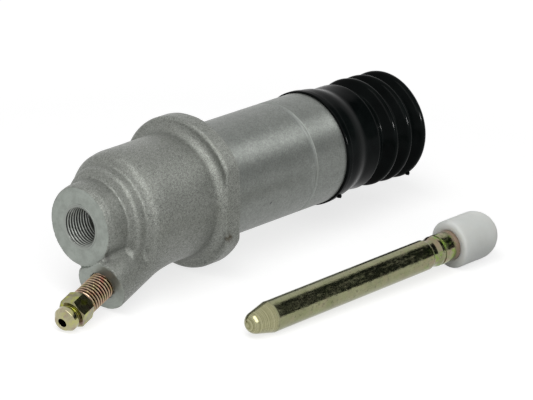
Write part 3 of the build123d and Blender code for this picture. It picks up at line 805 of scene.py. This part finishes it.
def settle(points, field, rounds=7, reach=0.02, most=0.3):
    """Newton steps onto the skin: each point moves by minus the value times the slope."""
    for _ in range(rounds):
        value = field(*points.T)
        ends = [(field(*(points + reach * d).T), field(*(points - reach * d).T)) for d in np.eye(3)]
        slope = np.stack([(after - before) / (2 * reach) for after, before in ends], axis=1)
        step = value / np.maximum((slope ** 2).sum(1), 0.2)
        points = points - slope * np.clip(step, -most, most)[:, None]
    return points


points, faces = surface_net(casting, (-48.1, -24, -24.6), (1.1, 24, 24), 0.42)
points = settle(points, casting)
piece("casting", points, cast, ["cylinder_body"], 40.0, faces=faces)
print("furthest point from the skin", np.abs(casting(*points.T)).max().round(4), "mm")

# %% [markdown]
# ## The inlet port
# The port is tapped M12 x 1, and the camera looks straight into it, so its turns have to be real.
# A bump would not hide the far side behind the near one. The wall's distance from the axis is a
# wave of the place along the axis and the angle together, which makes one unbroken helix, and the
# mouth's cone cuts it away where the cone is wider.

# %% A thread as a wave
PITCH = 1.0


def thread_wave(place, angle, crest=0.14, root=0.14):
    """0 on the crest and 1 in the root of a V thread: a wave of the place in pitches less the turns."""
    turns = place / PITCH - angle / (2 * np.pi)
    share = np.abs(turns - np.round(turns)) * 2
    return np.clip((share - crest) / (1 - crest - root), 0, 1)


PORT_MINOR, PORT_DEEP, PORT_END = 5.58, 0.46, -34.9
MOUTH_RADIUS, MOUTH_SLOPE, MOUTH_FROM = 6.2, 2.6, -43.97
around = all_round(180)
x = np.arange(-44.01, -34.6, 0.07)[:, None]
run_out = np.clip((PORT_END - x) / 0.8, 0, 1)
tapped = PORT_MINOR + PORT_DEEP * thread_wave(x, around) * run_out
mouth = MOUTH_RADIUS - MOUTH_SLOPE * np.clip(x - MOUTH_FROM, 0, None)
points = round_grid([
    level_rows([(-33.0, 2.6), (-33.0, 6.62), (-43.95, 6.62), (-44.01, 6.58)], around),
    (x + 0 * around, np.maximum(tapped, mouth)),
    level_rows([(-34.4, PORT_MINOR), (-34.0, PORT_MINOR), (-32.3, 2.0), (-26.4, 2.0), (-26.4, 2.6)],
               around),
], around)
piece("port_thread", points, cut_port, ["cylinder_body"], 38.0, ring=True)

# %% [markdown]
# ## The barrel and its bore
# The barrel was turned in one setting, so it is one closed profile carried round the axis: along
# the outside past the empty snap groove, over the boot's seat with its bead groove, in at the mouth
# and back along the bore to its floor. Its edges are broken by a tenth of a millimetre, which is
# enough to catch the light.

# %% Turn the barrel
barrel = filled(rounded([
    (-26.0, 2.0, 0), (-26.3, 11.6, 0), (-0.8, 12.2, 0), (-0.8, BARREL_RADIUS, 0),
    (35.1, BARREL_RADIUS, 0.15), (35.25, 16.5, 0.15), (36.15, 16.5, 0.15), (36.4, BARREL_RADIUS, 0.25),
    (49.2, BARREL_RADIUS, 0.15), (49.2, 15.6, 0.1), (51.0, 15.6, 0.05), (51.0, 14.6, 0.1), (53.0, 14.6, 0.1),
    (53.0, 15.6, 0.05), (54.9, 15.6, 0.05), (55.5, 15.0, 0.05), (55.5, 11.9, 0.05), (54.7, 11.1, 0.05),
    (52.4, 11.1, 0), (52.4, 12.1, 0), (51.0, 12.1, 0), (51.0, 11.1, 0), (-25.94, 11.1, 0), (-25.94, 2.0, 0),
], steps=5), 1.5)
piece("barrel", spun(barrel, 256), turned_barrel, ["cylinder_body"], ring=True)

# %% [markdown]
# ## The return spring
# The spring stands between the bore's floor and the piston's seat, and the piston presses it
# together by 25 mm. A solid carried with the cylinder would keep its length and stick through the
# piston. So the coil is made again here as a mesh of its own, wound at its full length; it does not
# flatten as the piston comes in.

# %% Wind the spring
WIRE, TURNS, STROKE = 1.4, 7.0, 25.0
spring_low, spring_high = (np.array(corner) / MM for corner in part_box("return_spring"))
length = spring_high[0] - spring_low[0]
coil_radius = (spring_high[1] - spring_low[1] - WIRE) / 2


def coil(steps=64, sides=14, gap=0.05):
    """A round wire along a helix: the centre turns at coil_radius while x grows, and a circle stands
    across the helix's direction. The first and last rows close to a point, so the ends are flat."""
    turn = np.linspace(0, 2 * np.pi * TURNS, int(steps * TURNS) + 1)
    turn = np.concatenate([turn[:1], turn, turn[-1:]])
    thick = np.ones(len(turn))
    thick[[0, -1]] = 0.0
    zero = 0 * turn
    run = length - WIRE - 2 * gap
    outward = np.stack([zero, np.cos(turn), np.sin(turn)], 1)
    start = spring_low[0] + WIRE / 2 + gap
    centre = np.stack([start + run * turn / turn[-1], *(coil_radius * outward[:, 1:]).T], 1)
    ahead = np.stack([zero + run / turn[-1], -coil_radius * np.sin(turn), coil_radius * np.cos(turn)], 1)
    ahead /= np.linalg.norm(ahead, axis=1)[:, None]
    beside = np.cross(ahead, outward)
    side = all_round(sides)[None, :, None]
    ring = np.cos(side) * outward[:, None] + np.sin(side) * beside[:, None]
    return centre[:, None] + WIRE / 2 * thick[:, None, None] * ring


spring = piece("spring", coil(), spring_steel, ["return_spring"], 60.0)
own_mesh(spring)
print("spring", length.round(2), "mm, closes to", round(length - STROKE, 2))

# %% [markdown]
# ## The boot
# The boot is a moulded bellows that has stood in a store: it hangs a little lower towards its free
# end, its ridges are thin and catch the light, and two nubs of flash were left on its underside.
# The CAD's boot has straight sides and sharp folds. A lattice could bend it, but a profile carried
# round the axis and then lowered by a smooth curve gives finer folds.

# %% The boot's two profiles
FOLDS = ((72.25, 17.75, 1.5), (78.65, 17.75, 1.5), (85.05, 18.2, 2.0))
HALF_FOLD = 3.2
outside_wall = [(49.25, 17.5, 0.45), (51.3, 17.5, 0.35), (51.6, 17.15, 0.25), (55.3, 17.0, 12.0),
                (58.9, 15.95, 5.5), (65.05, 16.3, 1.5)]
inside_wall = [(49.25, 15.66, 0), (51.05, 15.66, 0), (51.05, 14.7, 0.2), (52.95, 14.7, 0.2),
               (52.95, 15.66, 0), (55.65, 15.66, 0.1), (59.45, 14.9, 2.0), (65.05, 15.2, 0.5)]
for crest, reach, rounding in FOLDS:
    outside_wall += [(crest - HALF_FOLD, 13.5, 0.7), (crest, reach, rounding)]
    inside_wall += [(crest - HALF_FOLD, 12.1, 0.5), (crest, 15.6, 0.5)]
outside_wall += [(87.65, 13.8, 1.2), (87.75, 5.8, 0.6), (90.65, 5.8, 0.4)]
inside_wall += [(86.55, 12.7, 0.8), (86.55, 4.2, 0.3), (90.65, 4.2, 0.3)]
boot = filled(rounded(outside_wall + inside_wall[::-1], steps=9), 0.9)
print("boot profile", len(boot), "points")

# %% Carry it round, let it hang and leave the flash
# Past the barrel's end the rubber swells and dents a little all round, and it hangs by the power 1.5
# of the way from there, DROP at its last fold.
FREE_FROM, FREE_OVER, HANG_FROM, HANG_OVER, DROP = 57, 8, 56, 31, 1.1
points = spun(boot, 240)
x = points[..., 0]
angle = np.arctan2(points[..., 2], points[..., 1])
free = np.clip((x - FREE_FROM) / FREE_OVER, 0, 1)
wobble = 0.05 * np.sin(3 * angle + 0.4 * x) + 0.035 * np.sin(5 * angle - 0.9 * x + 1)
points[..., 1:] *= 1 + (free * wobble / 16)[..., None]
points[..., 2] -= DROP * np.clip((x - HANG_FROM) / HANG_OVER, 0, 1.2) ** 1.5
piece("boot", points, rubber, ["dust_boot"], 180.0, ring=True)
print("folds at", [fold[0] for fold in FOLDS])


def nub(name, centre, outward, size):
    """A crumb of flash: a sphere of the given half sizes, dented by two sine waves, on the rubber."""
    lat, lon = np.meshgrid(np.linspace(0, np.pi, 13), all_round(20), indexing="ij")
    ball = np.stack([np.cos(lat), np.sin(lat) * np.cos(lon), np.sin(lat) * np.sin(lon)], -1)
    dent = 1 + 0.18 * np.sin(3 * lon + 2 * lat) + 0.12 * np.cos(5 * lat)
    outward = np.array(outward, float) / np.linalg.norm(outward)
    rows = np.array([outward, AXIS, np.cross(outward, AXIS)]) * np.array(size)[:, None]
    points = (ball * dent[..., None]) @ rows + np.array(centre)
    return piece(name, points, rubber, crease=180.0)


nub("flash_lip", (51.5, -12.0, -12.7), (0, -0.69, -0.73), (0.7, 0.8, 0.6))
nub("flash_fold", (85.0, -10.4, -14.4), (0, -0.58, -0.81), (0.6, 0.7, 0.6))

# %% [markdown]
# ## The bleeder screw
# The bleeder is one steel turning: a cone that seals at the bottom, an M8 x 1 thread, a hexagon for
# the spanner, a neck, and a nipple for the hose, drilled from its tip. All of it is one grid, whose
# distance from the axis depends on the height and the angle: a wave gives the thread, and the
# hexagon is the nearer of six flats and of a cone that breaks its corners.

# %% The bleeder's grid
HEX_FLATS, HEX_FROM, HEX_TO, HEX_TURN = 8.0, 9.3, 14.6, np.radians(10.0)
THREAD_FROM, THREAD_RADIUS, THREAD_DEEP = -5.5, 3.9, 0.55
SIXTH = np.pi / 3
theta = all_round(240) + HEX_TURN
height = np.arange(THREAD_FROM, HEX_FROM - 0.05, 0.075)[:, None]
run_in = np.clip((height - THREAD_FROM) / 0.8, 0, 1) * np.clip((HEX_FROM - 0.35 - height) / 0.4, 0, 1)
thread = THREAD_RADIUS - THREAD_DEEP * thread_wave(height, theta) * run_in
spans = ((HEX_FROM, HEX_FROM + 0.5, 9), (HEX_FROM + 0.7, HEX_TO - 0.7, 12), (HEX_TO - 0.5, HEX_TO, 9))
level = np.concatenate([np.linspace(*span) for span in spans])[:, None]
flat = HEX_FLATS / 2 / np.cos((theta - HEX_TURN + SIXTH / 2) % SIXTH - SIXTH / 2)
cone = HEX_FLATS / 2 - 0.06 + np.minimum(level - HEX_FROM, HEX_TO - level) * np.tan(np.radians(60.0))
stem = rounded([(-8.6, 0, 0), (-8.6, 1.2, 0.15), (-8.0, 2.7, 0.3), (-6.2, 2.7, 0.2), (-5.6, 3.9, 0.05)])
nipple = filled(rounded([
    (14.6, 3.9, 0), (14.6, 2.7, 0.15), (15.3, 2.7, 0.2), (15.9, 3.65, 0.3), (17.3, 3.6, 0.35),
    (18.8, 2.45, 0.25), (18.8, 1.35, 0.15), (9.0, 1.3, 0), (9.0, 0, 0),
]), 0.8)
points = round_grid([
    level_rows(stem, theta),
    (height + 0 * theta, thread),
    level_rows([(HEX_FROM - 0.02, 3.9), (HEX_FROM, 3.92)], theta),
    (level + 0 * theta, np.minimum(flat, cone)),
    level_rows(nipple, theta),
], theta, on_boss)
print("bleeder grid", points.shape)

# %% Thread, hexagon and nipple in their own finishes
screw = piece("bleeder", points, bleeder_zinc, ["bleeder_screw"], 28.0, body="bleeder")
screw.data.materials.append(thread_copper)
heights = np.array([(v.co / MM - Vector(BOSS_FACE)).dot(Vector(BOSS_OUT)) for v in screw.data.vertices])
first = np.array([p.vertices[0] for p in screw.data.polygons])
threaded = heights[first] < HEX_FROM - 0.06
screw.data.polygons.foreach_set("material_index", threaded.astype(int))
print("threaded faces", int(threaded.sum()))

# %% [markdown]
# ## The push rod and its cap
# The rod is turned and plated, with a round nose on a short polished cone, a shallow neck and one
# fine ring before the cap. The cap is a translucent nylon sleeve with a domed end. Both lie on the
# floor, the rod tilted up a little because the cap is thicker. They are turned in the rod's own
# frame and then laid down together.

# %% Where the rod lies
ROD_RADIUS, CAP_RADIUS, CAP_START = 4.5, 7.1, 79.9
NOSE_RADIUS, CONE = 3.2, 5.4
tilt = np.arcsin((CAP_RADIUS - ROD_RADIUS) / (CAP_START - CONE - NOSE_RADIUS))
heading = np.radians(-3.7)
rod_x = np.array([np.cos(tilt) * np.cos(heading), np.cos(tilt) * np.sin(heading), np.sin(tilt)])
rod_y = np.array([-np.sin(heading), np.cos(heading), 0.0])
rise = ROD_RADIUS / np.cos(tilt) - (NOSE_RADIUS + CONE) * np.sin(tilt)
along_rod = (np.array([-30.6, -51.1, FLOOR / MM + rise]), (rod_x, rod_y, np.cross(rod_x, rod_y)))
print("rod tilt", np.degrees(tilt).round(2))

# %% The rod's plating, more coloured towards the cap, with a painted reflection of the cap's glow beside it
rod_zinc, tree, tone = zinc(
    "rod_zinc", (0.205, 0.212, 0.118), (0.285, 0.285, 0.172), (0.27, 0.225, 0.15), (0.20, 0.23, 0.10),
    rainbow=0.35, roughness=0.15)
nose_at = float(np.dot(along_rod[0], rod_x))
turned = add(tree, "ShaderNodeVectorRotate", rotation_type="EULER_XYZ", invert=True,
             Vector=place_of(tree), Rotation=(0.0, -tilt, heading)).outputs["Vector"]


def down_rod(start, end):
    """0 before start and 1 past end, in millimetres from the nose."""
    return beyond(tree, rod_x, nose_at + start, nose_at + end)


def streaks(scale, detail, roughness):
    """Noise in the rod's own frame, drawn out along each axis whose scale is small."""
    stretched = add(tree, "ShaderNodeMapping", Vector=turned, Scale=scale).outputs["Vector"]
    return noise(tree, stretched, 1.0, detail, roughness)


# painted reflection: the rod's last millimetres before the cap are tinted tan, in place of the cap's glow on
# the rod
near_cap, cap_glow_painted = down_rod(62.0, 72.0), down_rod(77.9, 78.9)
on_nose = outside(tree, down_rod(7.4, 7.9))
tone = tinted(
    tree, tone,
    (calculated(tree, "MULTIPLY", near_cap, cloudy(tree, 260.0, 0.46, 0.58)), (0.33, 0.21, 0.17), 0.5),
    (calculated(tree, "MULTIPLY", near_cap, cloudy(tree, 380.0, 0.52, 0.60)), (0.18, 0.29, 0.04), 0.7),
    (cloudy(tree, 900.0, 0.58, 0.70), (0.05, 0.05, 0.035), 0.5),
    (cap_glow_painted, (0.42, 0.30, 0.23), 0.8),
)
nose_ring = place_group(tree, rings, Axis=rod_x, Fineness=4700.0)["Height"]
ringed = mask_by(tree, nose_ring, 0.42, 0.58)
nose_tone = colour_by(tree, ringed, (0.20, 0.195, 0.095), (0.43, 0.415, 0.26))
scratch = streaks((560.0, 1600.0, 1600.0), 4.0, 0.7)
smudge = streaks((75.0, 620.0, 620.0), 3.0, 0.6)
marks = calculated(tree, "ADD", scratch, calculated(tree, "MULTIPLY", smudge, 0.5))
bare = value_by(tree, marks, 1.0, 0.6, 0.75, 1.0)
# Next to the cap the rod is made less metallic, so that the tan of the painted reflection shows
bare = mixed_value(tree, cap_glow_painted, bare, value_by(tree, smudge, 0.55, 0.7))
softer = value_by(tree, nose_ring, 0.3, 0.7)
scratches = mixed_value(tree, on_nose, scratch, softer)
polish = value_by(tree, scratches, -0.08, 0.22)
polish = mixed_value(tree, on_nose, polish, value_by(tree, softer, 0.08, 0.30))
feed(tree, Base_Color=blended(tree, on_nose, tone, nose_tone), Metallic=bare, Roughness=polish)
raise_bumps(tree, scratches, 0.45, 0.0001)
print("material", rod_zinc.name)

# %% Turn the rod
LEAN = np.radians(13.5)
sweep = np.linspace(0, np.pi / 2 - LEAN, 16)
nose = np.stack([NOSE_RADIUS * (1 - np.cos(sweep)), NOSE_RADIUS * np.sin(sweep)], 1)
cone_start = NOSE_RADIUS * (1 - np.sin(LEAN))
cone_end = cone_start + CONE
shank = rounded([
    (cone_start, NOSE_RADIUS * np.cos(LEAN), 0),
    (cone_end, NOSE_RADIUS * np.cos(LEAN) + CONE * np.tan(LEAN), 0.05),
    (cone_end + 0.3, 4.5, 0.1), (69.2, 4.5, 0.12), (69.9, 4.12, 0.3), (71.4, 4.12, 0.8), (73.0, 4.5, 0.8),
    (73.8, 4.5, 0.05), (73.8, 4.25, 0.05), (74.5, 4.25, 0.05), (74.5, 4.5, 0.05),
    (89.5, 4.5, 0.05), (90.0, 4.0, 0.05), (90.0, 0, 0),
], steps=6)
rod = np.concatenate([nose[:-1], filled(shank, 1.5)])
piece("rod", spun(rod, 160, along_rod), rod_zinc, ["push_rod"], 26.0)

# %% Mould the cap
DOME = CAP_START + 10.4
sweep = np.linspace(0, np.pi / 2, 24)
dome = np.stack([DOME + CAP_RADIUS * np.sin(sweep), CAP_RADIUS * np.cos(sweep)], 1)
skirt = rounded([(90.02, 0, 0), (90.02, 4.53, 0.1), (80.1, 4.53, 0.05), (CAP_START, 4.7, 0.05),
                 (CAP_START, CAP_RADIUS, 0.9), (DOME, CAP_RADIUS, 0)])
cap = np.concatenate([filled(skirt, 1.0)[:-1], dome])
piece("cap", spun(cap, 160, along_rod), nylon, ["push_rod_cap"], 40.0)

# %% [markdown]
# ## Flags and finish
# A photographer hangs flags beside a small lamp so that it lights one thing only. Light linking
# does the same here.

# %% Each small lamp lights its own pieces
def light_only(lamp, names):
    """The lamp lights only these pieces."""
    group = bpy.data.collections.new(lamp.name + "_lights")
    for name in names:
        group.objects.link(bpy.data.objects[name])
    lamp.light_linking.receiver_collection = group
    for member in group.collection_objects:
        member.light_linking.link_state = "INCLUDE"


light_only(barrel_lamp, ("barrel", "casting"))
light_only(boot_lamp, ("boot", "flash_lip", "flash_fold"))
